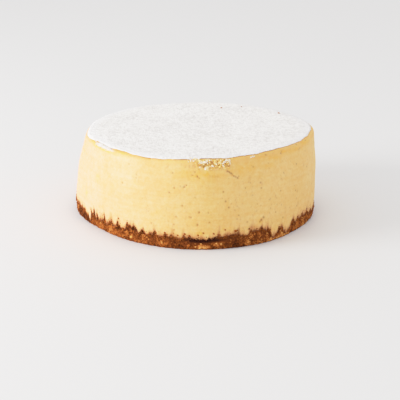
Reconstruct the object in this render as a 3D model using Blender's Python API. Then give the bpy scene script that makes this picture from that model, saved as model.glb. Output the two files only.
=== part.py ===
"""A whole baked cheesecake: a biscuit crumb base, the baked filling and a layer of sifted icing sugar.

Metres, +Z up. The origin is on the ground under the cake's middle, and -Y is the cake's front.
Run it with blender --background --python part.py, or from Blender's text editor.
"""

import math

import bmesh
import bpy
from mathutils import Vector, noise

# Driving sizes of the whole cake, baked in an 8 inch springform tin.
TIN_RADIUS = 0.1015
FILLING_TOP = 0.0713
BASE_THICKNESS = 0.0085
SUGAR_THICKNESS = 0.0009
SEAM_GAP = 0.0003

# How the cake shrank as it cooled. Each list has the places where an outline swells or is drawn in: the
# angle in degrees from the right (the front is at -90), the half width in degrees, and the change.
FOOT_RADIUS = 0.963 * TIN_RADIUS
FOOT_SWELLS = ((180, 22, 0.0044), (0, 22, 0.0028), (-140, 28, -0.0034), (-33, 14, -0.0011))
RIM_RADIUS = 0.918 * TIN_RADIUS
RIM_SWELLS = (
    (0, 14, 0.0010),
    (180, 22, 0.0009),
    (42, 30, -0.0035),
    (-45, 28, -0.0022),
    (140, 35, 0.0024),
    (-125, 35, 0.0024),
)
BELLY = 0.0017
LEFT_BELLY = 0.0020
LEAN_TO_RIGHT = 0.0046
RISE_TO_RIGHT = 0.021
DENT_DEPTH = 0.0007
DENT_SCALE = 22.0
DENT_SEED = 1.0
WALL_RIPPLE = 0.0005
WALL_RIPPLE_SCALE = 30.0
# Brings the middle of the whole cake over the origin.
TO_MIDDLE = Vector((0.00267, 0.00014, 0.0))

# The top edge is crisp, but it slumped at the front of the left side.
SHOULDER = 0.0032
SHOULDER_SWELLS = ((-143, 14, 0.0040),)

# A patch of the front edge that stuck to the tin and tore away.
TORN_ANGLE = math.radians(-84)
TORN_HALF_WIDTH = math.radians(6.5)
TORN_HEIGHT = 0.0065
TORN_FADE_STARTS = 0.35
TORN_DEPTH = 0.0022
TORN_RAGGEDNESS = 0.35
TORN_SCALE = 34.0
TORN_SEED = 5.0

# The crumb base shows at the side as a band. Crumbs are heaped higher here and there along its ragged
# upper edge, and in the narrow places batter ran down over them almost to the foot.
BAND_HEIGHT = 0.0092
BAND_SWELLS = (
    (-153, 2.0, -0.0055),
    (-146, 4.0, -0.0030),
    (-118, 8.0, 0.0014),
    (-87, 6.0, -0.0010),
    (-75, 5.0, 0.0012),
    (-59, 6.0, 0.0026),
    (-50.5, 2.6, -0.0072),
    (-41, 2.6, -0.0076),
    (-31, 4.0, 0.0008),
    (-12, 9.0, -0.0026),
    (30, 10.0, 0.0012),
    (64, 4.0, -0.0055),
    (95, 8.0, 0.0015),
    (140, 3.0, -0.0048),
    (165, 7.0, 0.0012),
)
BAND_CRAGS = 0.0044
CRAG_SCALE = 17.0
CRAG_SEED = 2.0
BAND_FINE_CRAGS = 0.0030
FINE_CRAG_SCALE = 41.0
FINE_CRAG_SEED = 9.0
# The edge is less ragged along the front.
CALM_STRETCHES = ((-84, 30, 0.55), (150, 40, 0.3))
LOWEST_BAND = 0.0022
BAND_STARTS = 0.87
CRUMB_RELIEF = 0.0009
CRUMB_SCALE = 210.0
RELIEF_STARTS = 0.12
OVERHANG = 0.0009
FOOT_ROUNDING = 0.0012

# The sugar stops just inside the top edge, and thins out and lifts a little where it ends. Its margin changes
# round the cake, as the swells of the outline do: it reaches right over the edge on the left.
SUGAR_MARGIN = 0.0028
SUGAR_MARGIN_SWELLS = (
    (-168, 12, -0.0026),
    (165, 18, -0.0024),
    (-151, 6, 0.0013),
    (-136, 8, 0.0010),
    (-129.5, 2.5, 0.0008),
    (-112, 14, -0.0020),
    (-88, 3, 0.0006),
    (-78, 3.5, -0.0010),
    (-63, 3, -0.0007),
    (-49, 6, 0.0009),
    (-12, 10, 0.0006),
    (45, 25, 0.0010),
)
SUGAR_GAP = 0.00045
SUGAR_WANDER = 0.0006
SUGAR_WANDER_SCALE = 12.0
SUGAR_WANDER_SEED = 7.0
SUGAR_EDGE_LIFT = 0.0004
LIFT_STARTS = 0.9
SUGAR_THINNING = 0.45
THINNING_STARTS = 0.8

# Steps round the cake, and where the rings of each lathe blank lie.
STEPS = 144
SUGAR_STEPS = 120
CORNER = 0.9
SIDE_STARTS = 0.95
FLOOR_RINGS = (0.5, 0.9)
SEAM_RINGS = (0.5, 0.78, 0.88, 0.925, SIDE_STARTS)
WALL_LEVELS = (0.1, 0.22, 0.36, 0.5, 0.63, 0.74, 0.83)
BAND_LEVELS = (0.14, 0.45, 0.75)
TOP_RINGS = (0.8, 0.55, 0.28)
CORNER_TURNS = 5
SUGAR_RINGS = (0.98, 0.955, 0.92, 0.86, 0.6, 0.3)
SKIN_HALVINGS = 20
MERGE = 1e-5

FILLING_COLOUR = (0.86, 0.62, 0.28, 1.0)
FILLING_ROUGHNESS = 0.5
CRUMB_COLOUR = (0.24, 0.080, 0.022, 1.0)
CRUMB_ROUGHNESS = 0.85
SUGAR_COLOUR = (0.88, 0.86, 0.83, 1.0)
SUGAR_ROUGHNESS = 0.9


def smooth_step(low, high, value):
    """0 below low, 1 above high, and an even curve between them."""
    share = min(1.0, max(0.0, (value - low) / (high - low)))
    return share * share * (3 - 2 * share)


def bump(distance, half_width):
    """1 at the middle of a bump, falling smoothly to almost nothing at twice its half width."""
    return math.exp(-((distance / half_width) ** 2))


def turn_between(angle, other):
    """The angle from other to angle, the short way round."""
    return math.remainder(angle - other, math.tau)


def round_noise(angle, scale, seed):
    """Noise that closes on itself round the cake: scale is the number of waves per radian, about."""
    return noise.noise(Vector((math.cos(angle) * scale, math.sin(angle) * scale, seed)))


def swell(swells, angle):
    """What the swells of an outline add at this angle."""
    return sum(
        change * bump(turn_between(angle, math.radians(middle)), math.radians(half_width))
        for middle, half_width, change in swells
    )


def wall_radius(angle, height):
    """Distance from the axis to the cake's side, before anything is torn away."""
    level = min(1.0, max(0.0, height / FILLING_TOP))
    foot = FOOT_RADIUS + swell(FOOT_SWELLS, angle)
    rim = RIM_RADIUS + swell(RIM_SWELLS, angle)
    leftness = (1 - math.cos(angle)) / 2
    belly = (BELLY + LEFT_BELLY * leftness) * 4 * level * (1 - level)
    around = (
        math.cos(angle) * WALL_RIPPLE_SCALE * foot,
        math.sin(angle) * WALL_RIPPLE_SCALE * foot,
        height * WALL_RIPPLE_SCALE * 2,
    )
    ripple = WALL_RIPPLE * noise.noise(Vector(around))
    return foot * (1 - level) + rim * level + belly + ripple


def shoulder(angle):
    """How far the top edge is rounded: more where it slumped."""
    return SHOULDER + swell(SHOULDER_SWELLS, angle)


def torn(angle, depth_below_top):
    """How much of the torn patch's depth is gone at this place, from 0 to 1."""
    ragged = 1 + TORN_RAGGEDNESS * round_noise(angle, TORN_SCALE, TORN_SEED)
    sideways = bump(turn_between(angle, TORN_ANGLE), TORN_HALF_WIDTH * ragged)
    fade_starts = TORN_FADE_STARTS * TORN_HEIGHT
    return sideways * (1 - smooth_step(fade_starts, TORN_HEIGHT, depth_below_top))


def seam_height(angle, share):
    """The seam between crumbs and filling: flat inside the cake, ragged where it meets the side."""
    at_side = BAND_HEIGHT + swell(BAND_SWELLS, angle)
    crags = BAND_CRAGS * round_noise(angle, CRAG_SCALE, CRAG_SEED)
    crags += BAND_FINE_CRAGS * round_noise(angle, FINE_CRAG_SCALE, FINE_CRAG_SEED)
    at_side += crags * (1 - swell(CALM_STRETCHES, angle))
    at_side = max(LOWEST_BAND, at_side)
    ragged_share = smooth_step(BAND_STARTS, SIDE_STARTS, share)
    return BASE_THICKNESS + (at_side - BASE_THICKNESS) * ragged_share


def across_to_radius(angle, across, height):
    """The blank's corner is stretched to the shoulder, and the rest to what is left of the radius."""
    wall = wall_radius(angle, height)
    corner = shoulder(angle)
    if across <= CORNER:
        return (wall - corner) * across / CORNER
    return wall - corner * (1 - across) / (1 - CORNER)


def leaned(angle, radius, height):
    """A point at this angle and radius, moved with the cake's lean to the right."""
    lean = LEAN_TO_RIGHT * (height / FILLING_TOP - 0.5)
    upright = Vector((radius * math.cos(angle) + lean, radius * math.sin(angle), height))
    return upright + TO_MIDDLE


def flat_top(angle, radius):
    """Height of the filling's top, which rises to the right and has low dents."""
    x, y = radius * math.cos(angle), radius * math.sin(angle)
    dents = DENT_DEPTH * noise.noise(Vector((x * DENT_SCALE, y * DENT_SCALE, DENT_SEED)))
    return FILLING_TOP + RISE_TO_RIGHT * x + dents


def fit_filling(angle, across, up):
    """Where a point of the filling's blank goes."""
    seam = seam_height(angle, across) + SEAM_GAP / 2
    corner = shoulder(angle)
    top = flat_top(angle, across_to_radius(angle, min(across, CORNER), FILLING_TOP))
    if up <= CORNER:
        height = seam + (top - corner - seam) * up / CORNER
    else:
        height = top - corner * (1 - up) / (1 - CORNER)
    radius = across_to_radius(angle, across, height)
    radius -= TORN_DEPTH * torn(angle, top - height) * smooth_step(CORNER, 1.0, across)
    return leaned(angle, radius, height)


def fit_base(angle, across, up):
    """Where a point of the crumb base's blank goes: its side is rough and set in under the filling."""
    height = (seam_height(angle, across) - SEAM_GAP / 2) * up
    radius = across_to_radius(angle, across, height)
    around = Vector((math.cos(angle) * radius, math.sin(angle) * radius, height)) * CRUMB_SCALE
    fullness = math.sin(math.pi * min(1.0, up + RELIEF_STARTS))
    rough = CRUMB_RELIEF * noise.noise(around) * fullness
    at_side = smooth_step(SIDE_STARTS, 1.0, across)
    return leaned(angle, radius + (rough - OVERHANG) * at_side, height)


def skin_height(angle, radius):
    """Height of the filling's skin at this radius, over the flat top and down its rounded shoulder."""
    corner = shoulder(angle)
    corner_starts = wall_radius(angle, FILLING_TOP) - corner
    top = flat_top(angle, corner_starts)
    if radius <= corner_starts:
        return flat_top(angle, radius)
    turn, step = math.pi / 4, math.pi / 8
    for _ in range(SKIN_HALVINGS):
        height = top - corner * (1 - math.sin(turn))
        found = wall_radius(angle, height) - corner * (1 - math.cos(turn))
        turn += step if found > radius else -step
        step /= 2
    return top - corner * (1 - math.sin(turn))


def fit_sugar(angle, across, up):
    """Where a point of the sugar's blank goes: it lies on the skin and thins out to its edge."""
    edge = wall_radius(angle, FILLING_TOP) - SUGAR_MARGIN - swell(SUGAR_MARGIN_SWELLS, angle)
    edge += SUGAR_WANDER * round_noise(angle, SUGAR_WANDER_SCALE, SUGAR_WANDER_SEED)
    radius = edge * across
    lift = SUGAR_GAP + SUGAR_EDGE_LIFT * smooth_step(LIFT_STARTS, 1.0, across)
    thinned = 1 - SUGAR_THINNING * smooth_step(THINNING_STARTS, 1.0, across)
    place = leaned(angle, radius, skin_height(angle, radius) + lift)
    place.z += SUGAR_THICKNESS * thinned * up
    return place


def plain_material(name, colour, roughness):
    """A Principled BSDF of one colour."""
    material = bpy.data.materials.new(name)
    material.use_nodes = True
    shader = material.node_tree.nodes["Principled BSDF"]
    shader.inputs["Base Color"].default_value = colour
    shader.inputs["Roughness"].default_value = roughness
    shader.inputs["Metallic"].default_value = 0.0
    return material


def lathe(name, outline, steps, fit, material):
    """Spins an outline of (across, up) points into a closed blank and stretches it with fit.

    The crumb base and the filling both walk their seam outwards, so its quads are cut the same way.
    """
    mesh = bmesh.new()
    points = [mesh.verts.new((across, 0.0, up)) for across, up in outline]
    edges = [mesh.edges.new(pair) for pair in zip(points, points[1:])]
    bmesh.ops.spin(
        mesh,
        geom=points + edges,
        cent=(0, 0, 0),
        axis=(0, 0, 1),
        angle=math.tau,
        steps=steps,
    )
    bmesh.ops.remove_doubles(mesh, verts=mesh.verts, dist=MERGE)
    for vert in mesh.verts:
        across = math.hypot(vert.co.x, vert.co.y)
        angle = math.atan2(vert.co.y, vert.co.x) if across > MERGE else 0.0
        vert.co = fit(angle, across, vert.co.z)
    bmesh.ops.triangulate(mesh, faces=mesh.faces, quad_method="FIXED")
    if mesh.calc_volume(signed=True) < 0:
        bmesh.ops.reverse_faces(mesh, faces=mesh.faces)
    data = bpy.data.meshes.new(name)
    mesh.to_mesh(data)
    mesh.free()
    data.shade_smooth()
    data.materials.append(material)
    part = bpy.data.objects.new(name, data)
    bpy.context.scene.collection.objects.link(part)
    return part


def filling():
    """The baked filling, from the seam up its side and over the shoulder to the flat top."""
    corner = 1 - CORNER
    turns = [math.pi / 2 * i / CORNER_TURNS for i in range(CORNER_TURNS + 1)]
    outline = [(0.0, 0.0), *((ring, 0.0) for ring in SEAM_RINGS), (1.0, 0.0)]
    outline += [(1.0, level) for level in WALL_LEVELS]
    outline += [(CORNER + corner * math.cos(t), CORNER + corner * math.sin(t)) for t in turns]
    outline += [(ring, 1.0) for ring in TOP_RINGS]
    outline.append((0.0, 1.0))
    material = plain_material("filling", FILLING_COLOUR, FILLING_ROUGHNESS)
    return lathe("filling", outline, STEPS, fit_filling, material)


def crumb_base():
    """The pressed biscuit crumbs, flat underneath and ragged where they show at the side."""
    foot_inset = 1 - FOOT_ROUNDING / TIN_RADIUS
    outline = [(0.0, 1.0), *((ring, 1.0) for ring in SEAM_RINGS), (1.0, 1.0)]
    outline += [(1.0, level) for level in reversed(BAND_LEVELS)]
    outline += [(foot_inset, 0.0), *((ring, 0.0) for ring in reversed(FLOOR_RINGS)), (0.0, 0.0)]
    material = plain_material("crumb_base", CRUMB_COLOUR, CRUMB_ROUGHNESS)
    return lathe("crumb_base", outline, STEPS, fit_base, material)


def icing_sugar():
    """The sifted sugar, a thin layer that runs out before the top edge."""
    outline = [(0.0, 0.0), *((ring, 0.0) for ring in reversed(SUGAR_RINGS)), (1.0, 0.0)]
    outline += [(1.0, 1.0), *((ring, 1.0) for ring in SUGAR_RINGS), (0.0, 1.0)]
    material = plain_material("icing_sugar", SUGAR_COLOUR, SUGAR_ROUGHNESS)
    return lathe("icing_sugar", outline, SUGAR_STEPS, fit_sugar, material)


def main():
    for old in list(bpy.data.objects):
        bpy.data.objects.remove(old)
    whole = bpy.data.objects.new("cheesecake", None)
    bpy.context.scene.collection.objects.link(whole)
    for part in (crumb_base(), filling(), icing_sugar()):
        part.parent = whole


main()
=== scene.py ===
# %% [markdown]
# # A baked cheesecake
# The cake has three parts that a baker makes one after the other: a base of pressed biscuit crumbs, a
# filling of eggs and soft cheese baked on it, and icing sugar sifted over the top. The solids from CAD hold
# the sizes. Here each of them gets its real skin: crumbs that can be counted, a side with pits and smears,
# and a sugar layer with grain. First the solids are loaded and their box is kept, because nothing may grow
# out of it.

# %% Load the solids
import math

import bpy
import numpy as np
from mathutils import Euler, Matrix, Vector, noise


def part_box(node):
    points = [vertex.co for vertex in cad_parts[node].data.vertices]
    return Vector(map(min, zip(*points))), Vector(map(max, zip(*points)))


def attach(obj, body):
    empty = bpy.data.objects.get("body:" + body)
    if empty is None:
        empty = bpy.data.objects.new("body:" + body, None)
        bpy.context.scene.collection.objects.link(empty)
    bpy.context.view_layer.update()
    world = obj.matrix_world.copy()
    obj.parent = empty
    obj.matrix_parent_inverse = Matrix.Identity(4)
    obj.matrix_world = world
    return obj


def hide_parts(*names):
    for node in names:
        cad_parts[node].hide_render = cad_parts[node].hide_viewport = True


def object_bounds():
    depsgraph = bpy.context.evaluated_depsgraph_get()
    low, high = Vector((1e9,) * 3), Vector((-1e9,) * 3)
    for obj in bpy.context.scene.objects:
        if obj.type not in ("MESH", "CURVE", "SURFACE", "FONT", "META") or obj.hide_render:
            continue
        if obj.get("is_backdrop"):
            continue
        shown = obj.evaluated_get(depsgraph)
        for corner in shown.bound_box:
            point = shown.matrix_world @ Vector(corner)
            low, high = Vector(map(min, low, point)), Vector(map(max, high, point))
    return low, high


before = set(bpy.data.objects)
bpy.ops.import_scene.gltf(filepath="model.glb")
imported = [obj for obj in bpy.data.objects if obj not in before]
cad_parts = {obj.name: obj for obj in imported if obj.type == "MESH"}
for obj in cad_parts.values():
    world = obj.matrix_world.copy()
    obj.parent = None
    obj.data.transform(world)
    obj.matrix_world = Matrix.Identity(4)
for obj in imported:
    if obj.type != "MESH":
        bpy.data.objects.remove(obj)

CAD_LOW, CAD_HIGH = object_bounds()
MM = 0.001
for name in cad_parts:
    low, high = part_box(name)
    print(name, "from", [round(v / MM, 1) for v in low], "to", [round(v / MM, 1) for v in high], "mm")

# %% [markdown]
# ## Camera
# The cake is seen from a little above, with a long lens, so its sides hardly converge. A real camera would
# stand 86 cm away with a 90 mm lens. It is built from its height, the angle that it looks down, and a
# slight roll, because the picture is not quite level.

# %% Camera
LENS = 90.0
SENSOR = 36.0
LOOKS_DOWN = math.radians(18.97)
ROLL = math.radians(0.8)
CAMERA_PLACE = Vector((0.00417, -0.81026, 0.2857))

lens = bpy.data.cameras.new("long_lens")
lens.lens = LENS
lens.sensor_width = SENSOR
lens.clip_start = 0.01
camera = bpy.data.objects.new("camera", lens)
bpy.context.scene.collection.objects.link(camera)
tilt = Matrix.Rotation(math.pi / 2 - LOOKS_DOWN, 4, "X")
camera.matrix_world = Matrix.Translation(CAMERA_PLACE) @ tilt @ Matrix.Rotation(ROLL, 4, "Z")
bpy.context.scene.camera = camera
print("camera", round(CAMERA_PLACE.length, 3), "m from the middle of the foot")

# %% [markdown]
# ## Light
# Food pictures in this bright style have a broad window low on the left and white all round that fills the
# shadows. A large area light does the first, and a pale world the second. A camera doesn't cut off its
# whites sharply: they roll off, and pale cream in strong light turns paler still. The Standard view keeps
# colours as they are worked out, so the roll-off is added to it as a curve, straight up to a half and bent
# above it.

# %% Light
WORLD_COLOUR = (1.0, 0.985, 0.97, 1.0)
WORLD_STRENGTH = 1.0
KEY_COLOUR = (1.0, 0.98, 0.95)
KEY_POWER = 24.0

world = bpy.data.worlds.new("pale_room")
world.use_nodes = True
world.node_tree.nodes["Background"].inputs["Color"].default_value = WORLD_COLOUR
world.node_tree.nodes["Background"].inputs["Strength"].default_value = WORLD_STRENGTH
bpy.context.scene.world = world


def soft_light(name, place, aim, size, power, colour):
    """An area light at a place, turned to what it lights."""
    lamp = bpy.data.lights.new(name, "AREA")
    lamp.shape = "DISK"
    lamp.size = size
    lamp.energy = power
    lamp.color = colour
    light = bpy.data.objects.new(name, lamp)
    bpy.context.scene.collection.objects.link(light)
    towards = Vector(aim) - Vector(place)
    light.matrix_world = Matrix.Translation(place) @ towards.to_track_quat("-Z", "Y").to_matrix().to_4x4()
    return light


soft_light("window", (-1.38, -0.42, 0.42), (0.0, 0.0, 0.04), 0.75, KEY_POWER, KEY_COLOUR)
print("lights", [item.name for item in bpy.data.lights])

# %% The roll-off of the whites
STRAIGHT_TO = 0.5
BRIGHTEST = 4.0
CURVE_LEVELS = (0.25, 0.5, 0.65, 0.8, 1.0, 1.25, 1.6, 2.1, 2.8)


def rolled_off(level):
    """What the picture shows for a brightness: the same up to a half, and then ever nearer to white."""
    if level <= STRAIGHT_TO:
        return level
    room = 1 - STRAIGHT_TO
    return STRAIGHT_TO + room * (1 - math.exp(-(level - STRAIGHT_TO) / room))


look = bpy.context.scene.view_settings
look.view_transform = "Standard"
look.use_curve_mapping = True
look.curve_mapping.white_level = (BRIGHTEST, BRIGHTEST, BRIGHTEST)
whole = look.curve_mapping.curves[3]
for level in CURVE_LEVELS:
    whole.points.new(level / BRIGHTEST, rolled_off(level))
look.curve_mapping.update()
print("a brightness of 1 shows as", round(rolled_off(1.0), 2))

# %% [markdown]
# ## Floor
# The cake stands on a plain pale floor that runs past the edges of the picture.

# %% Floor
FLOOR_SIZE = 14.0
FLOOR_DROP = 0.00005
FLOOR_COLOUR = (0.82, 0.82, 0.83, 1.0)

bpy.ops.object.select_all(action="DESELECT")
bpy.ops.mesh.primitive_plane_add(size=FLOOR_SIZE, location=(0, 0, -FLOOR_DROP))
floor = bpy.context.object
floor.name = "floor"
bpy.ops.object.transform_apply(location=True, rotation=True, scale=True)
floor_paint = bpy.data.materials.new("pale_floor")
floor_paint.use_nodes = True
floor_paint.node_tree.nodes["Principled BSDF"].inputs["Base Color"].default_value = FLOOR_COLOUR
floor_paint.node_tree.nodes["Principled BSDF"].inputs["Roughness"].default_value = 0.7
floor.data.materials.append(floor_paint)
floor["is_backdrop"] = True

# %% [markdown]
# ## Shader sums
# A food surface is a sum of small things: a mottle, a smear, a darker pit. In the shader each is a few
# nodes. The class below wraps one socket, so that such a sum can be written as plain Python. Values use the
# signs + - and *, colours are mixed, and every other node comes from `node`.


# %% A socket that can be added and multiplied
class Wire:
    """One output socket of a material. Sums of wires add Math nodes."""

    def __init__(self, socket):
        self.socket = socket

    def node(self, kind, settings, values, output=0):
        """Any node: its settings are set first, and then its sockets get values or wires."""
        tree = self.socket.id_data
        made = tree.nodes.new(kind)
        for name, value in settings.items():
            if name == "stops":
                lay_stops(made.color_ramp, value)
            else:
                setattr(made, name, value)
        for name, value in values.items():
            if isinstance(value, Wire):
                tree.links.new(value.socket, made.inputs[name])
            else:
                made.inputs[name].default_value = value
        return Wire(made.outputs[output])

    def math(self, operation, *values):
        return self.node("ShaderNodeMath", {"operation": operation}, dict(enumerate(values)))

    def __add__(self, other):
        return self.math("ADD", self, other)

    def __sub__(self, other):
        return self.math("SUBTRACT", self, other)

    def __mul__(self, other):
        return self.math("MULTIPLY", self, other)

    def __radd__(self, other):
        return self.math("ADD", other, self)

    def __rsub__(self, other):
        return self.math("SUBTRACT", other, self)

    def __rmul__(self, other):
        return self.math("MULTIPLY", other, self)

    def limited(self):
        self.socket.node.use_clamp = True
        return self

    def ramp(self, *stops):
        """From value to colour, through stops of (place, colour)."""
        return self.node("ShaderNodeValToRGB", {"stops": stops}, {0: self})

    def noise(self, scale, detail=2.0, rough=0.5):
        """Cloudy noise on these coordinates, as a value about 0.5."""
        values = {"Vector": self, "Scale": scale, "Detail": detail, "Roughness": rough}
        return self.node("ShaderNodeTexNoise", {}, values)

    def leftness(self, starts, full):
        """On these coordinates, 0 to the right of one place across and 1 to the left of another."""
        across = self.node("ShaderNodeSeparateXYZ", {}, {0: self}, "X")
        return ((starts - across) * (1 / (starts - full))).limited()

    def stretched(self, across, along, up):
        """The same coordinates, scaled along x, y and z."""
        values = {0: self, 1: (across, along, up)}
        return self.node("ShaderNodeVectorMath", {"operation": "MULTIPLY"}, values)


def lay_stops(ramp, stops):
    """Sets the stops of a colour ramp, which starts with two."""
    while len(ramp.elements) < len(stops):
        ramp.elements.new(1.0)
    for element, (place, colour) in zip(ramp.elements, stops):
        element.position = place
        element.color = (*colour, 1.0)


def mixed(share, first, second):
    """A colour between two: share 0 gives the first, 1 the second."""
    wired = next(item for item in (share, first, second) if isinstance(item, Wire))
    values = {"Factor": share, 6: first, 7: second}
    for key in (6, 7):
        if not isinstance(values[key], Wire):
            values[key] = (*values[key], 1.0)
    return wired.node("ShaderNodeMix", {"data_type": "RGBA"}, values, 2)


def new_material(name):
    """An empty finish: its shader, its Object coordinates, and a way to read an attribute."""
    material = bpy.data.materials.new(name)
    material.use_nodes = True
    tree = material.node_tree
    shader = tree.nodes["Principled BSDF"]
    place = Wire(tree.nodes.new("ShaderNodeTexCoord").outputs["Object"])
    return material, shader, place


def plug(wire, shader, name):
    shader.id_data.links.new(wire.socket, shader.inputs[name])


def bumped(shader, height, strength, distance):
    """Fine relief: the height goes through a Bump node to the shader's Normal."""
    values = {"Height": height, "Strength": strength, "Distance": distance}
    plug(height.node("ShaderNodeBump", {}, values, "Normal"), shader, "Normal")


def painted(wire, name):
    """A value that was painted on the mesh, read by its name."""
    return wire.node("ShaderNodeAttribute", {"attribute_name": name}, {}, "Fac")


# %% [markdown]
# ## The form of the cake
# A cake that has left its tin isn't a true cylinder: this one leans a little, its belly swells, its left
# shoulder has slumped and its rim has a torn patch. These are the same named swells that shape the solids,
# so the skins made here lie where the solids are. Only the spikes are finer than the solids: narrow tongues
# of brown on the crust's upper edge. Angles are measured from the right side, and -90 is the front.

# %% Named sizes of the form
TIN_RADIUS = 0.1015
FILLING_TOP = 0.0713
BASE_THICKNESS = 0.0085
FOOT_RADIUS = 0.963 * TIN_RADIUS
FOOT_SWELLS = ((180, 22, 0.0044), (0, 22, 0.0028), (-140, 28, -0.0034), (-33, 14, -0.0011))
RIM_RADIUS = 0.918 * TIN_RADIUS
RIM_SWELLS = (
    (0, 14, 0.0010), (180, 22, 0.0009), (42, 30, -0.0035), (-45, 28, -0.0022), (140, 35, 0.0024),
    (-125, 35, 0.0024),
)
BELLY = 0.0017
LEFT_BELLY = 0.0020
LEAN_TO_RIGHT = 0.0046
RISE_TO_RIGHT = 0.021
TO_MIDDLE = Vector((0.00267, 0.00014, 0.0))
SHOULDER = 0.0032
SHOULDER_SWELLS = ((-143, 14, 0.0040),)
TORN_ANGLE = math.radians(-84)
TORN_HALF_WIDTH = math.radians(6.5)
TORN_HEIGHT = 0.0065
TORN_DEPTH = 0.0022
BAND_HEIGHT = 0.0092
BAND_SWELLS = (
    (-153, 2.0, -0.0055), (-146, 4.0, -0.0030), (-118, 8.0, 0.0014), (-87, 6.0, -0.0010), (-75, 5.0, 0.0012),
    (-59, 6.0, 0.0026), (-50.5, 2.6, -0.0072), (-41, 2.6, -0.0076), (-31, 4.0, 0.0008),
    (-12, 9.0, -0.0026), (30, 10.0, 0.0012), (64, 4.0, -0.0055), (95, 8.0, 0.0015), (140, 3.0, -0.0048),
    (165, 7.0, 0.0012),
)
CALM_STRETCHES = ((-84, 30, 0.55), (150, 40, 0.3))
LOWEST_BAND = 0.0022
SPIKES = (
    (-150.8, 0.7, 0.0070), (-148.0, 0.6, 0.0060), (-145.4, 0.6, 0.0055), (-138.8, 0.8, 0.0048),
    (-135.2, 0.6, 0.0022), (-129.3, 0.8, 0.0026), (-123.6, 0.8, 0.0028), (-119.7, 0.7, 0.0020),
    (-114.7, 0.8, 0.0030), (-108.8, 0.8, 0.0024), (-103.5, 1.4, 0.0020), (-78.4, 0.9, 0.0008),
    (-73.8, 1.0, 0.0014), (-64.0, 0.9, 0.0010), (-60.0, 1.0, 0.0014), (-54.9, 0.8, 0.0014),
    (-32.6, 0.9, 0.0020), (-28.0, 0.9, 0.0014),
    (50.0, 0.8, 0.0030), (74.0, 0.7, 0.0040), (88.0, 0.8, 0.0026), (112.0, 0.7, 0.0036), (126.0, 0.8, 0.0030),
    (152.0, 0.7, 0.0040), (171.0, 0.8, 0.0028),
)


# %% Functions of the form
def smooth_step(low, high, value):
    share = min(1.0, max(0.0, (value - low) / (high - low)))
    return share * share * (3 - 2 * share)


def bump(distance, half_width):
    return math.exp(-((distance / half_width) ** 2))


def turn_between(angle, other):
    return math.remainder(angle - other, math.tau)


def round_noise(angle, scale, seed):
    return noise.noise(Vector((math.cos(angle) * scale, math.sin(angle) * scale, seed)))


def swell(swells, angle):
    total = 0.0
    for middle, half_width, change in swells:
        total += change * bump(turn_between(angle, math.radians(middle)), math.radians(half_width))
    return total


def wall_radius(angle, height):
    """How far the side is from the middle, before the lean."""
    level = min(1.0, max(0.0, height / FILLING_TOP))
    foot = FOOT_RADIUS + swell(FOOT_SWELLS, angle)
    rim = RIM_RADIUS + swell(RIM_SWELLS, angle)
    leftness = (1 - math.cos(angle)) / 2
    belly = (BELLY + LEFT_BELLY * leftness) * 4 * level * (1 - level)
    around = Vector((math.cos(angle) * foot, math.sin(angle) * foot, height * 2)) * 30.0
    return foot * (1 - level) + rim * level + belly + 0.0005 * noise.noise(around)


def shoulder(angle):
    """The radius of the rounded top edge, which is larger where the left has slumped."""
    return SHOULDER + swell(SHOULDER_SWELLS, angle)


def leaned(angle, radius, height):
    lean = LEAN_TO_RIGHT * (height / FILLING_TOP - 0.5)
    return Vector((radius * math.cos(angle) + lean, radius * math.sin(angle), height)) + TO_MIDDLE


def flat_top(angle, radius):
    """The height of the cake's top, which rises to the right and has shallow dents."""
    across = radius * math.cos(angle)
    dent = noise.noise(Vector((across * 22.0, radius * math.sin(angle) * 22.0, 1.0)))
    return FILLING_TOP + RISE_TO_RIGHT * across + 0.0007 * dent


def seam_height(angle, fine=1.0):
    """How high the crumbs reach at the side: a ragged line."""
    crags = 0.0044 * round_noise(angle, 17.0, 2.0) + 0.0030 * round_noise(angle, 41.0, 9.0)
    crags += fine * 0.0016 * round_noise(angle, 110.0, 4.0)
    height = BAND_HEIGHT + swell(BAND_SWELLS, angle) + fine * swell(SPIKES, angle)
    return max(LOWEST_BAND, height + crags * (1 - swell(CALM_STRETCHES, angle)))


def skin_point(angle, height):
    """A point of the side or of its rounded shoulder, and the way that the skin faces there."""
    corner = shoulder(angle)
    top = flat_top(angle, wall_radius(angle, FILLING_TOP) - corner)
    lift = min(1.0, max(0.0, (height - top + corner) / corner))
    turn = math.asin(lift)
    radius = wall_radius(angle, height) - corner * (1 - math.cos(turn))
    out = Vector((math.cos(angle) * math.cos(turn), math.sin(angle) * math.cos(turn), math.sin(turn)))
    return leaned(angle, radius, height), out


SUGAR_MARGIN = 0.0028
SUGAR_EDGE_CHANGES = (
    (-168, 12, -0.0026), (165, 18, -0.0024), (-151, 6, 0.0013), (-136, 8, 0.0010), (-129.5, 2.5, 0.0008),
    (-112, 14, -0.0020), (-88, 3, 0.0006), (-78, 3.5, -0.0010), (-63, 3, -0.0007), (-49, 6, 0.0009),
    (-12, 10, 0.0006), (45, 25, 0.0010),
)
HALVINGS = 20


def sugar_edge(angle):
    """How far from the middle the sugar reaches."""
    edge = wall_radius(angle, FILLING_TOP) - SUGAR_MARGIN - swell(SUGAR_EDGE_CHANGES, angle)
    frayed = 0.0002 + 0.0005 * smooth_step(-1.7, -1.2, angle)
    return edge + 0.0006 * round_noise(angle, 12.0, 7.0) + frayed * round_noise(angle, 70.0, 3.0)


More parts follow.
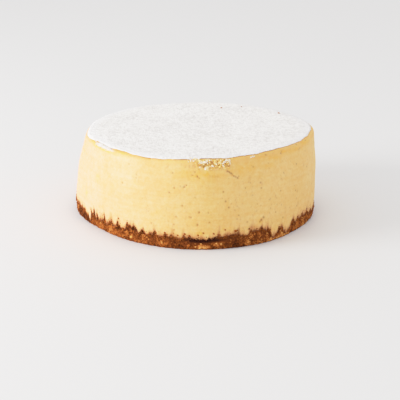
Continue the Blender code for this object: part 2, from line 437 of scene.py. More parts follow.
def skin_height(angle, radius):
    """The filling's height at a distance from the middle: on the flat, or on the rounded shoulder."""
    corner = shoulder(angle)
    rim = wall_radius(angle, FILLING_TOP) - corner
    if radius <= rim:
        return flat_top(angle, radius)
    top = flat_top(angle, rim)
    turn = math.pi / 4
    step = math.pi / 8
    for halving in range(HALVINGS):
        height = top - corner * (1 - math.sin(turn))
        reached = wall_radius(angle, height) - corner * (1 - math.cos(turn))
        turn += step if reached > radius else -step
        step /= 2
    return top - corner * (1 - math.sin(turn))


for angle in (-90, 0, 90, 180):
    place, out = skin_point(math.radians(angle), 0.03)
    print("side at", angle, "degrees:", [round(v / MM, 1) for v in place], "mm")


# %% [markdown]
# ## Helpers for meshes
# Round food starts as a cylinder with many steps. Its upright edges are subdivided into rows and its caps
# are inset into rings, all with the edit-mode tools. Then each point is moved to its place by a function,
# as a sculptor would push it.


# %% A cylinder cut into rows and rings
def bare_hands():
    """Leaves edit mode and deselects everything."""
    if bpy.context.object and bpy.context.object.mode != "OBJECT":
        bpy.ops.object.mode_set(mode="OBJECT")
    bpy.ops.object.select_all(action="DESELECT")


def pick(piece, kind, test):
    """In edit mode, selects only the faces or edges that a test of their place wants."""
    bpy.ops.mesh.select_all(action="DESELECT")
    bpy.ops.object.mode_set(mode="OBJECT")
    mesh = piece.data
    if kind == "EDGE":
        for edge in mesh.edges:
            edge.select = test(mesh.vertices[edge.vertices[0]].co, mesh.vertices[edge.vertices[1]].co)
    else:
        for face in mesh.polygons:
            face.select = test(face.center, face.normal)
    bpy.ops.object.mode_set(mode="EDIT")
    bpy.ops.mesh.select_mode(type=kind)


def ringed_cylinder(name, steps, radius, height, rows, top_rings, foot_rings):
    """A closed cylinder on the floor with rows up its side and rings on its caps."""
    bare_hands()
    middle = (0, 0, height / 2)
    bpy.ops.mesh.primitive_cylinder_add(vertices=steps, radius=radius, depth=height, location=middle)
    piece = bpy.context.object
    piece.name = piece.data.name = name
    bpy.ops.object.transform_apply(location=True, rotation=True, scale=True)
    bpy.ops.object.mode_set(mode="EDIT")
    bpy.ops.mesh.select_mode(type="EDGE")
    pick(piece, "EDGE", lambda a, b: abs(a.z - b.z) > height / 2)
    bpy.ops.mesh.subdivide(number_cuts=rows - 1)
    for way, rings in ((1, top_rings), (-1, foot_rings)):
        pick(piece, "FACE", lambda centre, facing: facing.z * way > 0.9)
        reached = 1.0
        for ring in rings:
            bpy.ops.mesh.inset(thickness=(reached - ring) * radius)
            reached = ring
        bpy.ops.mesh.poke()
    bpy.ops.object.mode_set(mode="OBJECT")
    return piece


def places(piece):
    """All points of a mesh, as rows of x, y and z."""
    spots = np.empty(len(piece.data.vertices) * 3)
    piece.data.vertices.foreach_get("co", spots)
    return spots.reshape(-1, 3)


def put_places(piece, spots):
    piece.data.vertices.foreach_set("co", np.asarray(spots, dtype=np.float32).ravel())
    piece.data.update()


def paint(piece, name, values):
    """Writes one value per point under a name that the material reads."""
    layer = piece.data.attributes.new(name, "FLOAT", "POINT")
    layer.data.foreach_set("value", np.asarray(values, dtype=np.float32))


def triangles(piece):
    return sum(len(face.vertices) - 2 for face in piece.data.polygons)


# %% [markdown]
# ## Filling: the skin of the side
# The baked filling is smooth where the tin touched it, with faint level smears from its release and little
# pits where air bubbles met the tin. A pit is a dent a millimetre wide, so it is made in the mesh and not
# only in the shader. The cylinder gets some 880 steps and 98 rows, which puts its points 0.7 mm apart.

# %% Filling: a finely ringed cylinder
STEPS = 880
SIDE_ROWS = 78
SHOULDER_ROWS = 20
ROWS = SIDE_ROWS + SHOULDER_ROWS

filling = ringed_cylinder(
    "baked_filling_skin", STEPS, TIN_RADIUS, FILLING_TOP, ROWS, (0.97, 0.75, 0.4), (0.984, 0.87, 0.4)
)
print("filling", len(filling.data.vertices), "points,", triangles(filling), "triangles")

# %% [markdown]
# Each point of the cylinder knows its angle, its row and its ring. The rows up to the 78th climb the side,
# and the last twenty turn over the rounded shoulder. The rings on top lie under the sugar, and those
# underneath lie on the crumbs.

# %% Filling: move every point to the cake's form
SEAM_GAP = 0.0003


def filling_spot(x, y, z):
    """From a point of the plain cylinder: its place, facing, height, and height over the seam."""
    angle = math.atan2(y, x)
    across = math.hypot(x, y) / TIN_RADIUS
    row = z / FILLING_TOP * ROWS
    seam = seam_height(angle) + SEAM_GAP / 2
    corner = shoulder(angle)
    rim = wall_radius(angle, FILLING_TOP) - corner
    top = flat_top(angle, rim)
    if across < 0.995:
        if z > FILLING_TOP / 2:
            radius = rim * across
            return leaned(angle, radius, flat_top(angle, radius)), Vector((0, 0, 1)), top, 1.0
        level = BASE_THICKNESS + (seam - BASE_THICKNESS) * smooth_step(0.87, 0.984, across)
        radius = wall_radius(angle, level) * across
        return leaned(angle, radius, level), Vector((0, 0, -1)), level, 0.0
    if row <= SIDE_ROWS:
        height = seam + (top - corner - seam) * row / SIDE_ROWS
        out = Vector((x, y, 0)).normalized()
        return leaned(angle, wall_radius(angle, height), height), out, height, height - seam
    turn = (row - SIDE_ROWS) / SHOULDER_ROWS * math.pi / 2
    height = top - corner * (1 - math.sin(turn))
    radius = wall_radius(angle, height) - corner * (1 - math.cos(turn))
    out = Vector((x, y, 0)).normalized() * math.cos(turn)
    out.z = math.sin(turn)
    return leaned(angle, radius, height), out, height, height - seam


spots = []
facings = []
heights = []
over_seam = []
for x, y, z in places(filling):
    spot, facing, height, over = filling_spot(x, y, z)
    spots.append(spot)
    facings.append(facing)
    heights.append(height)
    over_seam.append(over)
angles = np.arctan2(places(filling)[:, 1], places(filling)[:, 0])
spots = np.array(spots)
facings = np.array(facings)
heights = np.array(heights)
over_seam = np.array(over_seam)
put_places(filling, spots)
print("filling's skin spans", np.round((spots.max(axis=0) - spots.min(axis=0)) / MM, 1), "mm")

# %% [markdown]
# Next comes the relief, as a distance in or out at each point: a slow waviness, the level smears, the torn
# patch at the front of the rim, the crease and lip where the left shoulder slumped, and the pits. Most pits
# are strewn by a seeded generator, with more of them low down and to the right. The ones that catch the eye
# at the front are placed one by one, as angle, height, radius and depth in millimetres. Specks of crust in
# the batter leave a shallow stained pit each, so they are listed here as well.

# %% Filling: waviness, smears and torn patch
WAVE = 0.00022
SET_IN = 0.0003
SMEAR = 0.00011
TORN_ROUGHNESS = 0.0011
LEDGE_ANGLE = math.radians(-141)
LEDGE_HALF_WIDTH = math.radians(13)
LEDGE_GROOVE = 0.0006
LEDGE_LIP = 0.0005

relief = np.zeros(len(spots))
pushed_in = np.zeros(len(spots))
torn_share = np.zeros(len(spots))
for index, (spot, height, angle) in enumerate(zip(spots, heights, angles)):
    where = Vector(spot)
    relief[index] += WAVE * noise.noise(where * 62.0)
    relief[index] += SMEAR * noise.noise(Vector((where.x * 26.0, where.y * 26.0, where.z * 430.0)))
    ragged = 1 + 0.35 * round_noise(angle, 34.0, 5.0)
    sideways = bump(turn_between(angle, TORN_ANGLE), TORN_HALF_WIDTH * ragged)
    torn = sideways * smooth_step(FILLING_TOP - TORN_HEIGHT - 0.001, FILLING_TOP - 0.35 * TORN_HEIGHT, height)
    torn_share[index] = torn
    crags = noise.noise(where * 420.0) + 0.6 * noise.noise(where * 800.0)
    steepness = 1 - facings[index][2] ** 2
    pushed_in[index] = torn * (TORN_DEPTH - TORN_ROUGHNESS * crags) * steepness
on_side = facings[:, 2] > -0.5
middles = np.array([leaned(0.0, 0.0, height) for height in heights])
inward = middles - spots
inward[:, 2] = 0.0
inward /= np.maximum(np.linalg.norm(inward, axis=1), 1e-6)[:, None]
spots += inward * pushed_in[:, None]
from_axis = np.linalg.norm((spots - middles)[:, :2], axis=1)
past_sugar = from_axis - np.array([sugar_edge(angle) for angle in angles])
for index in np.flatnonzero((facings[:, 2] > 0.01) & (facings[:, 2] < 0.999)):
    slumped = bump(turn_between(angles[index], LEDGE_ANGLE), LEDGE_HALF_WIDTH)
    ragged = 0.0004 * round_noise(angles[index], 60.0, 8.0)
    relief[index] -= slumped * LEDGE_GROOVE * bump(past_sugar[index] - 0.0004, 0.0005)
    relief[index] += slumped * LEDGE_LIP * bump(past_sugar[index] - 0.0020 - ragged, 0.0008)
relief -= SET_IN
relief[~on_side] = 0.0
print("relief from", round(relief.min() / MM, 2), "to", round(relief.max() / MM, 2), "mm")

# %% Filling: pits
SEEN_PITS = (
    (-47.6, 69.4, 0.9, 0.5), (-60.5, 50.2, 0.8, 0.5), (-59.9, 45.9, 0.7, 0.4), (-68.4, 47.8, 0.6, 0.4),
    (-77.6, 38.9, 0.8, 0.5), (-89.2, 30.9, 0.9, 0.6), (-92.6, 26.9, 0.8, 0.5), (-89.5, 20.9, 0.9, 0.5),
    (-96.9, 35.8, 0.8, 0.5), (-58.9, 20.2, 1.3, 0.8), (-57.8, 21.9, 1.1, 0.8), (-59.6, 18.9, 0.9, 0.6),
    (-45.2, 17.1, 0.8, 0.5), (-50.7, 23.9, 0.7, 0.4), (-47.0, 28.5, 0.6, 0.4), (-128.9, 16.9, 1.0, 0.5),
    (-157.2, 20.6, 0.9, 0.5), (-110.6, 19.6, 0.7, 0.4), (-101.2, 49.3, 0.7, 0.4), (-102.5, 60.7, 0.7, 0.4),
    (-91.3, 58.7, 0.8, 0.5), (-92.6, 62.0, 0.6, 0.4), (-90.4, 57.5, 0.7, 0.4), (-93.5, 59.6, 0.6, 0.4),
    (-71.0, 27.0, 0.6, 0.4), (-76.0, 34.0, 0.8, 0.5), (-65.1, 14.6, 0.7, 0.5), (-34.0, 22.0, 0.8, 0.4),
    (-77.6, 61.9, 0.9, 0.6), (-76.7, 61.3, 0.8, 0.7), (-75.8, 60.2, 0.9, 0.7), (-75.2, 59.3, 0.7, 0.6),
    (-74.4, 57.9, 0.8, 0.6), (-73.5, 57.2, 0.7, 0.5), (-72.5, 56.2, 0.9, 0.6), (-72.0, 57.4, 0.6, 0.4),
    (-84.5, 58.6, 1.0, 0.12), (-83.2, 58.3, 1.0, 0.12), (-82.0, 58.3, 1.0, 0.12), (-85.6, 58.9, 0.8, 0.12),
    (-33.9, 71.9, 0.9, 0.3), (-57.3, 70.8, 0.9, 0.3), (-47.0, 70.9, 0.7, 0.3), (-24.2, 72.0, 0.7, 0.5),
)
PIT_COUNT = 620
PIT_LEAST = 0.0004
PIT_MOST = 0.00085
PIT_SEED = 12

pit_seed = np.random.default_rng(PIT_SEED)


def strewn_pits(count):
    """Pits as rows of angle, height, radius and depth: more of them low down and on the right."""
    pits = []
    while len(pits) < count:
        angle, height = pit_seed.uniform(-math.pi, math.pi), pit_seed.uniform(0.012, 0.069)
        likely = 0.35 + 0.4 * (1 - height / FILLING_TOP) + 0.35 * math.cos(angle)
        likely += 0.5 * noise.noise(Vector((math.cos(angle) * 4, math.sin(angle) * 4, height * 60)))
        if pit_seed.random() < likely:
            radius = PIT_LEAST + (PIT_MOST - PIT_LEAST) * pit_seed.random() ** 3
            pits.append((angle, height, radius, radius * pit_seed.uniform(0.25, 0.6)))
    return pits


SEEN_SPECKS = (
    (-108.3, 12.2, 0.8), (-104.0, 12.9, 0.9), (-101.0, 11.6, 0.7), (-98.0, 11.8, 0.8), (-94.9, 13.2, 0.7),
    (-92.7, 11.7, 0.9), (-86.6, 14.2, 0.7), (-88.9, 12.2, 0.9), (-81.9, 13.5, 0.8), (-79.1, 12.2, 0.8),
    (-76.9, 16.1, 0.8), (-71.8, 14.5, 0.9), (-71.0, 14.7, 0.7), (-65.1, 14.6, 0.7), (-128.9, 16.9, 0.6),
)
placed = [*SEEN_PITS, *((angle, height, width * 1.1, 0.3) for angle, height, width in SEEN_SPECKS)]
pits = [(math.radians(a), h * MM, r * MM, d * MM) for a, h, r, d in placed] + strewn_pits(PIT_COUNT)
pit_shade_and_stain_share = np.zeros(len(spots))
for angle, height, radius, depth in pits:
    centre = np.array(skin_point(angle, height)[0])
    near = np.flatnonzero(np.abs(heights - height) < radius * 2.5)
    away = np.linalg.norm(spots[near] - centre, axis=1) / radius
    dip = np.exp(-(away**2))
    relief[near] -= depth * dip
    # The brown share of a pit: painted shade that grows with its depth, and at the specks of crust also their
    # own brown.
    stain = np.exp(-((1.15 * away) ** 3)) * min(1.0, depth / 0.0004)
    pit_shade_and_stain_share[near] = np.maximum(pit_shade_and_stain_share[near], stain)
pit_shade_and_stain_share[~on_side] = 0.0
relief[~on_side] = 0.0
put_places(filling, spots + facings * relief[:, None])
print(len(pits), "pits, the deepest point", round(relief.min() / MM, 2), "mm in")

# %% [markdown]
# What the shader needs to know is painted on the points: how deep in a pit a point is, for painted shade
# there, how much brown crept up to it from the crumbs, whether powder fell there, how near it is to the rim
# and the torn patch, and how near it is to the sugar's edge, for a line of browned crease and painted shade.

# %% Filling: paint what the finish needs
RIM_REACH = 0.006
# How wide the line just past the sugar's edge is: partly a browned crease, partly painted shade under the
# sugar.
CREASE_SHADE_WIDTH = 0.0007
POWDERED = ((-149.5, 68.5, 3.0, 0.7), (-144.5, 68.3, 3.0, 0.7), (-140.5, 68.3, 2.4, 0.6))
YOLK_STRIP = ((-147, 66.9, 13, 0.8), (-157, 68.0, 4, 1.3), (-131, 69.3, 5, 0.8))
STAINS = (
    (-145, 43.7, 1.1, 3.0), (-155, 27, 1.0, 3.0), (-90, 60, 9.0, 3.5), (-68, 63, 8.0, 4.0),
    (-60, 20, 1.6, 2.2), (-76, 17, 2.2, 1.6), (-88, 14, 2.4, 1.5), (-36, 69, 7.0, 2.0), (-52, 67, 5.0, 1.8),
    (-45, 70.3, 4.0, 1.2), (-26, 71.0, 5.0, 2.0), (-61, 69.2, 3.0, 1.2), (-56, 62.0, 2.5, 2.0),
)


def spread(spots, angle, height):
    """How near a point is to the middle of any soft spot, given as angle, height and both half widths."""
    shares = [
        bump(turn_between(angle, math.radians(a)), math.radians(wide)) * bump(height - h * MM, tall * MM)
        for a, h, wide, tall in spots
    ]
    return max(shares)


def smudge_reach(angle, seed):
    """How far brown creeps up from the crumbs: in thin spikes, a few millimetres apart."""
    spikes = max(0.0, round_noise(angle, 34.0, seed) + 0.25 * round_noise(angle, 80.0, seed))
    heaps = 0.5 + 0.9 * round_noise(angle, 9.0, seed + 2.0)
    haze = 0.0016 * bump(turn_between(angle, math.radians(-142)), math.radians(9))
    haze += 0.0016 * bump(turn_between(angle, math.radians(-26)), math.radians(12))
    return 0.0022 + haze + 0.0110 * spikes * max(0.2, heaps)


above = np.maximum(over_seam, 0)
tan_reach = np.array([smudge_reach(angle, 3.0) + 0.0006 for angle in angles])
brown_reach = np.array([0.6 * smudge_reach(angle, 3.3) for angle in angles])
rim_share = np.array([smooth_step(FILLING_TOP - RIM_REACH, FILLING_TOP, h) for h in heights])
# The line just past the sugar's edge, partly a browned crease and partly painted shade under the sugar.
beyond = np.maximum(past_sugar, 0) / CREASE_SHADE_WIDTH
fainter = np.array([1 - 0.65 * smooth_step(-1.5, -1.1, angle) for angle in angles])
rim_line = np.where(rim_share > 0, np.exp(-(beyond**2)), 0) * fainter
paint(filling, "pit", pit_shade_and_stain_share)
paint(filling, "smudge_tan", np.exp(-((above / tan_reach) ** 1.5)))
paint(filling, "smudge_brown", np.exp(-((above / brown_reach) ** 1.5)))
paint(filling, "powdered", [spread(POWDERED, angle, height) for angle, height in zip(angles, heights)])
paint(filling, "yolk", [spread(YOLK_STRIP, angle, height) for angle, height in zip(angles, heights)])
paint(filling, "rim", rim_share)
paint(filling, "rim_line", rim_line)
paint(filling, "torn", [
    bump(turn_between(angle, TORN_ANGLE), TORN_HALF_WIDTH * 1.05) * smooth_step(0.0615, 0.0660, height)
    for angle, height in zip(angles, heights)
])
paint(filling, "stain", [spread(STAINS, angle, height) for angle, height in zip(angles, heights)])

# %% [markdown]
# ## Filling: its finish
# Baked cheese is a dense cream: light goes in and comes out soft, which hides small shadows, and the skin
# has a dull shine. The base colour is a warm cream that wanders a little, towards amber at the rim, with
# brown smudged up from the crumbs at the foot. Painted light and shade go into it too: the left side that
# faces the window is painted a brighter, peachier cream, painted shade darkens the pits, and a thin line
# just past the sugar's edge is partly a browned crease and partly painted shade.

# %% Filling: finish
CREAM_PALE = (0.89, 0.585, 0.25)
CREAM_DEEP = (0.84, 0.482, 0.152)
# Painted light: the left side, which faces the window, gets a brighter and peachier cream, fading in between
# two places across.
LIT_SIDE_PALE = (0.99, 0.50, 0.285)
LIT_SIDE_DEEP = (0.97, 0.405, 0.185)
LIT_SIDE_STARTS = 0.012
LIT_SIDE_FULL = -0.085
YOLK = (0.86, 0.50, 0.08)
RIM_AMBER = (0.84, 0.43, 0.10)
# Partly a browned crease, partly painted shade: the thin line under the sugar's edge.
CREASE_AND_SHADE_BROWN = (0.55, 0.28, 0.07)
# Painted shade in the pits, and the brown of the specks of crust in them.
PIT_SHADE_AND_STAIN = (0.34, 0.17, 0.045)
STAIN_AMBER = (0.89, 0.465, 0.085)
SMUDGE_TAN = (0.60, 0.27, 0.09)
SMUDGE_BROWN = (0.23, 0.065, 0.016)
POWDER_WHITE = (0.95, 0.90, 0.85)
TORN_PALE = (0.97, 0.86, 0.68)
TORN_DEEP = (0.66, 0.36, 0.07)

filling_finish, shader, place = new_material("baked_filling_finish")
mottle = place.noise(32.0, 3.0, 0.55)
smears = place.stretched(30.0, 30.0, 420.0).noise(1.0, 3.0, 0.6)
curd = place.noise(260.0, 3.0, 0.65)
specks = place.noise(620.0, 2.0, 0.6)
depth = (mottle * 1.3 + smears * 1.0 + curd * 1.5 + specks * 1.4 - 2.1).limited()
# Painted light: towards the left, the side lit by the window, the cream is painted brighter and peachier.
painted_lit_side = place.leftness(LIT_SIDE_STARTS, LIT_SIDE_FULL)
cream = mixed(painted_lit_side, mixed(depth, CREAM_PALE, CREAM_DEEP), mixed(depth, LIT_SIDE_PALE, LIT_SIDE_DEEP))
cream = mixed((painted(place, "yolk") * (curd * 2.0 - 0.3)).limited(), cream, YOLK)
cream = mixed((painted(place, "rim") * (place.noise(90.0, 2.0) - 0.1)).limited(), cream, RIM_AMBER)
# A broken brown line just past the sugar's edge: partly a browned crease, partly painted shade under the
# sugar.
broken = place.noise(170.0, 2.0) * 4.0 - 1.5
cream = mixed((painted(place, "rim_line") * broken).limited(), cream, CREASE_AND_SHADE_BROWN)
streaks = place.stretched(340.0, 340.0, 160.0).noise(1.0, 3.0, 0.6)
cream = mixed((painted(place, "smudge_tan") * 1.5 + streaks * 1.6 - 0.95).limited(), cream, SMUDGE_TAN)
cream = mixed((painted(place, "smudge_brown") * 1.6 + streaks * 2.4 - 1.6).limited(), cream, SMUDGE_BROWN)
cream = mixed((painted(place, "stain") * (curd * 2.4 - 0.6)).limited(), cream, STAIN_AMBER)
flecks = place.noise(420.0, 3.0, 0.6)
cream = mixed((painted(place, "torn") * (flecks * 6.0 - 2.6)).limited(), cream, TORN_DEEP)
cream = mixed((painted(place, "torn") * (2.6 - flecks * 6.0)).limited(), cream, TORN_PALE)
# Painted shade in the pits, deeper where a pit is deeper, with the brown of the specks of crust.
cream = mixed((painted(place, "pit") * 0.85).limited(), cream, PIT_SHADE_AND_STAIN)
cream = mixed((painted(place, "powdered") * (flecks * 4.0 - 0.8)).limited(), cream, POWDER_WHITE)
plug(cream, shader, "Base Color")
grain = place.noise(900.0, 2.0, 0.6) * 0.6 + smears + curd
bumped(shader, grain, 0.4, 0.0005)
plug((0.46 + 0.2 * mottle).limited(), shader, "Roughness")
shader.inputs["Subsurface Weight"].default_value = 0.35
shader.inputs["Subsurface Radius"].default_value = (1.0, 0.6, 0.25)
shader.inputs["Subsurface Scale"].default_value = 0.004
shader.inputs["Specular IOR Level"].default_value = 0.4
filling.data.materials.append(filling_finish)
filling.data.shade_smooth()
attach(filling, "root")
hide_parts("filling")

# %% [markdown]
# ## Crumb base: the pressed body
# Biscuit crumbs mixed with butter and pressed with a spoon make a dark, rough mass. Its body is a low
# cylinder whose side is pushed in and out like pebbles. The separate crumbs come after it.

# %% Crumb base: body
CORE_STEPS = 720
CORE_ROWS = 14
OVERHANG = 0.0011
CORE_ROUGHNESS = 0.0011

core = ringed_cylinder(
    "crumb_body", CORE_STEPS, TIN_RADIUS, BASE_THICKNESS, CORE_ROWS, (0.984, 0.87, 0.4), (0.9, 0.4)
)
core_spots = []
for x, y, z in places(core):
    angle = math.atan2(y, x)
    across = math.hypot(x, y) / TIN_RADIUS
    seam = seam_height(angle) - SEAM_GAP / 2
    level = BASE_THICKNESS + (seam - BASE_THICKNESS) * smooth_step(0.87, 0.984, across)
    height = level * z / BASE_THICKNESS
    radius = wall_radius(angle, height) * across - OVERHANG * smooth_step(0.9, 0.995, across)
    where = leaned(angle, radius, height)
    if across > 0.995:
        pebbles = noise.voronoi(where * 330.0)[0][0]
        radius += CORE_ROUGHNESS * (0.5 - pebbles) + 0.0005 * noise.noise(where * 160.0)
        where = leaned(angle, radius, height)
    core_spots.append(where)
put_places(core, core_spots)
print("crumb body", triangles(core), "triangles")

# %% [markdown]
# ## Crumb base: the crumbs
# A crumb is a small broken block with blunt corners. Four are modelled: a cube is subdivided once and its
# points are pushed about. A fifth, for the finest, is a ball of twenty faces. Each is copied many times,
# turned and scaled, and set into the side of the base, the larger ones low down. Finer crumbs fray the
# upper edge, where batter ran between them.

# %% Crumb base: the crumbs to copy


def model_crumb(name, seed, blockiness):
    """A cube of radius 1, cut once, with its points pushed towards a ball and then about."""
    bare_hands()
    bpy.ops.mesh.primitive_cube_add(size=1.5, location=(0, 0, 0))
    crumb = bpy.context.object
    crumb.name = name
    bpy.ops.object.mode_set(mode="EDIT")
    bpy.ops.mesh.select_all(action="SELECT")
    bpy.ops.mesh.subdivide(number_cuts=1)
    bpy.ops.object.mode_set(mode="OBJECT")
    for point in crumb.data.vertices:
        ball = point.co.normalized()
        point.co = point.co * blockiness + ball * (1 - blockiness)
        point.co *= 1 + 0.45 * noise.noise(ball * 1.7 + Vector((seed, 0, 0)))
    print(name, len(crumb.data.polygons), "faces")
    return crumb


crumbs = [model_crumb("crumb_%d" % index, index * 3.1, 0.55) for index in range(4)]
bare_hands()
bpy.ops.mesh.primitive_ico_sphere_add(subdivisions=1, radius=1.0, location=(0, 0, 0))
speck = bpy.context.object
speck.name = "speck"
for point in speck.data.vertices:
    point.co *= 1 + 0.5 * noise.noise(point.co * 1.3)
print("speck", len(speck.data.polygons), "faces")


# %% Strewing: many copies in one mesh
CLEARANCE = 0.0001


def shape_of(piece):
    """The points and the faces of a small shape."""
    faces = [tuple(face.vertices) for face in piece.data.polygons]
    return places(piece), faces


def turns(generator, count):
    """Random turns, each as a 3 by 3 matrix."""
    axes = generator.normal(size=(count, 4))
    axes /= np.linalg.norm(axes, axis=1)[:, None]
    w, x, y, z = axes.T
    rows = (
        (1 - 2 * (y * y + z * z), 2 * (x * y - z * w), 2 * (x * z + y * w)),
        (2 * (x * y + z * w), 1 - 2 * (x * x + z * z), 2 * (y * z - x * w)),
        (2 * (x * z - y * w), 2 * (y * z + x * w), 1 - 2 * (x * x + y * y)),
    )
    return np.array(rows).transpose(2, 0, 1)


def strewn(name, shapes, centres, sizes, tones, seed):
    """One mesh with a turned and scaled copy of a shape at each centre, each with its tone."""
    generator = np.random.default_rng(seed)
    spins = turns(generator, len(centres))
    stretch = generator.uniform(0.65, 1.25, size=(len(centres), 3))
    points, faces, shades = [], [], []
    reached = 0
    for index, centre in enumerate(centres):
        shape, outline = shapes[index % len(shapes)]
        moved = (shape * stretch[index] * sizes[index]) @ spins[index].T + centre
        points.append(moved)
        faces.extend(tuple(corner + reached for corner in face) for face in outline)
        shades.append(np.full(len(shape), tones[index]))
        reached += len(shape)
    everything = np.concatenate(points)
    everything = np.clip(everything, np.array(CAD_LOW) + CLEARANCE, np.array(CAD_HIGH) - CLEARANCE)
    mesh = bpy.data.meshes.new(name)
    mesh.from_pydata(everything.tolist(), [], faces)
    piece = bpy.data.objects.new(name, mesh)
    bpy.context.scene.collection.objects.link(piece)
    paint(piece, "tone", np.concatenate(shades))
    return piece


# %% Crumb base: strew the crumbs
BIG_CRUMBS = 900
FINE_CRUMBS = 5600
CRUMB_SEED = 21
UNDERCUTS = ((-82, 14, 0.0014), (-50, 8, 0.0006), (30, 25, 0.0010), (120, 20, 0.0009))
SEEN_CRUMBS = (
    (-87.8, 2.2, 3.1, 1.0), (-85.9, 2.1, 3.0, 1.1), (-89.6, 2.5, 2.2, 0.9), (-84.2, 2.3, 2.0, 0.85),
    (-87.6, 5.2, 2.4, 0.9), (-89.8, 5.4, 1.9, 0.8), (-80.0, 5.0, 2.8, 1.05), (-78.0, 4.4, 2.5, 0.95),
    (-79.6, 3.6, 1.8, 0.8), (-84.6, 5.0, 1.5, 0.8), (-83.2, 2.2, 1.5, 0.75), (-73.8, 7.6, 1.7, 0.7),
    (-76.2, 7.0, 1.3, 0.65), (-106.0, 2.6, 1.5, 0.7), (-62.0, 3.0, 1.3, 0.6), (-117.0, 2.2, 1.4, 0.7),
)
# Patches in the crust, as angle, height, both half widths and change of tone. The one at -86 degrees is
# painted shade under the filling's overhang at the front; the others are lighter and darker patches of the
# crust.
CRUST_PATCHES_AND_SHADE = (
    (-86.5, 2.0, 3.0, 1.4, 0.35), (-79.0, 4.4, 3.0, 1.6, 0.3), (-86.0, 7.8, 6.0, 1.4, -0.9),
    (-73.0, 10.5, 4.0, 1.6, -0.15), (-125.0, 4.0, 22.0, 3.5, 0.08), (-163.0, 5.0, 5.0, 3.0, -0.15),
    (-146.5, 5.0, 5.0, 3.0, 0.10), (-148.0, 13.0, 5.0, 4.0, -0.15), (-119.0, 11.0, 18.0, 2.0, -0.15),
    (-62.0, 3.0, 8.0, 2.5, 0.10), (-14.0, 8.0, 5.0, 3.0, -0.15), (-42.0, 5.0, 6.0, 3.0, 0.1),
)
MIDDLE_TONE = 0.34
LIGHTEST_TONE = 0.95
TONE_SPREAD = 0.09
crumb_seed = np.random.default_rng(CRUMB_SEED)


def crumb_spot(angle, height, inward):
    """A place in the side of the base, further in towards the seam where the filling hangs over it."""
    share = height / seam_height(angle, 0.0)
    inward += swell(UNDERCUTS, angle) * smooth_step(0.25, 0.9, share)
    radius = wall_radius(angle, height) - OVERHANG * 0.5 - inward
    return leaned(angle, radius, height)


def patch_and_shade_tone(angle, height):
    """How much lighter or darker the crust is: its patches, and painted shade under the front overhang."""
    total = 0.0
    for middle, level, wide, tall, change in CRUST_PATCHES_AND_SHADE:
        sideways = bump(turn_between(angle, math.radians(middle)), math.radians(wide))
        total += change * sideways * bump(height - level * MM, tall * MM)
    return total


centres, sizes, tones = [], [], []
for angle, height, width, tone in SEEN_CRUMBS:
    centres.append(crumb_spot(math.radians(angle), height * MM, width * MM * 0.3))
    sizes.append(width * MM / 2)
    tones.append(tone)
while len(centres) < BIG_CRUMBS + FINE_CRUMBS:
    big = len(centres) < BIG_CRUMBS
    angle = crumb_seed.uniform(-math.pi, math.pi)
    seam = seam_height(angle)
    height = crumb_seed.uniform(0.0005, seam)
    low = max(0.0, 1 - height / 0.012)
    size = crumb_seed.uniform(0.00035, 0.0007)
    if big:
        size = 0.0007 + 0.0009 * crumb_seed.random() ** 2 * (0.4 + 0.8 * low)
    if height < size * 1.25 or height > seam - size * 0.6:
        continue
    spot = crumb_spot(angle, height, size * crumb_seed.uniform(0.4, 1.1))
    patch = 0.45 * noise.noise(spot * 130.0) + 0.35 * noise.noise(spot * 300.0) + patch_and_shade_tone(angle, height)
    centres.append(spot)
    sizes.append(size)
    # At the front, no light battered crumbs break up the painted shade under the overhang.
    shaded = bump(turn_between(angle, math.radians(-86)), math.radians(12))
    battered = 0.4 * crumb_seed.random() * smooth_step(0.7, 1.0, height / seam) * (1 - shaded)
    # Painted light: crumbs lighter on the right and towards the foot, for light thrown up from below onto the
    # crust.
    painted_light_right = smooth_step(-1.35, -0.9, angle) * smooth_step(0.3, 1.0, 1 + math.cos(angle))
    varied = TONE_SPREAD * crumb_seed.normal()
    tone = MIDDLE_TONE + 0.20 * painted_light_right + patch + battered + varied + 0.12 * low
    tones.append(min(LIGHTEST_TONE, max(0.0, tone)))
crumb_shapes = [shape_of(crumb) for crumb in crumbs]
many = BIG_CRUMBS
crust = strewn("crust_crumbs", crumb_shapes, np.array(centres[:many]), sizes[:many], tones[:many], 3)
fine = strewn("crust_fine_crumbs", [shape_of(speck)], np.array(centres[many:]), sizes[many:], tones[many:], 4)
print("crust", len(centres), "crumbs,", triangles(crust) + triangles(fine), "triangles")

# %% [markdown]
# The upper edge of the crust isn't a line: single fine crumbs are caught in the batter above it, fewer and
# fewer with height. The darkest of them at the front are placed one by one.

# %% Crumb base: fringe and specks
FRINGE_COUNT = 2600
FRINGE_REACH = 0.45
TOP_SPECKS = ((17.0, 64.0, 0.9), (35.0, 66.5, 0.8), (67.0, 43.5, 1.0))

centres, sizes, tones = [], [], []
while len(centres) < FRINGE_COUNT:
    angle = crumb_seed.uniform(-math.pi, math.pi)
    seam = seam_height(angle)
    above = crumb_seed.exponential(FRINGE_REACH * smudge_reach(angle, 3.3))
    size = crumb_seed.uniform(0.0003, 0.0007) * math.exp(-above / 0.006)
    if seam < 0.003 or above > 0.007:
        continue
    spot, out = skin_point(angle, seam + above - 0.0008)
    centres.append(spot - out * size * crumb_seed.uniform(0.1, 0.6))
    sizes.append(size)
    tones.append(max(0.0, 0.2 + 0.34 * crumb_seed.random() + patch_and_shade_tone(angle, seam - MM)))
for angle, height, width in SEEN_SPECKS:
    spot, out = skin_point(math.radians(angle), height * MM)
    centres.append(spot - out * width * MM * 0.7)
    sizes.append(width * MM * 1.05)
    tones.append(0.42)
for across, back, width in TOP_SPECKS:
    angle = math.atan2(back, across)
    radius = math.hypot(back, across) * MM
    centres.append(leaned(angle, radius, skin_height(angle, radius) + 0.0009))
    sizes.append(width * MM)
    tones.append(0.42)
fringe = strewn("crust_fringe", [shape_of(speck)], np.array(centres), sizes, tones, 5)
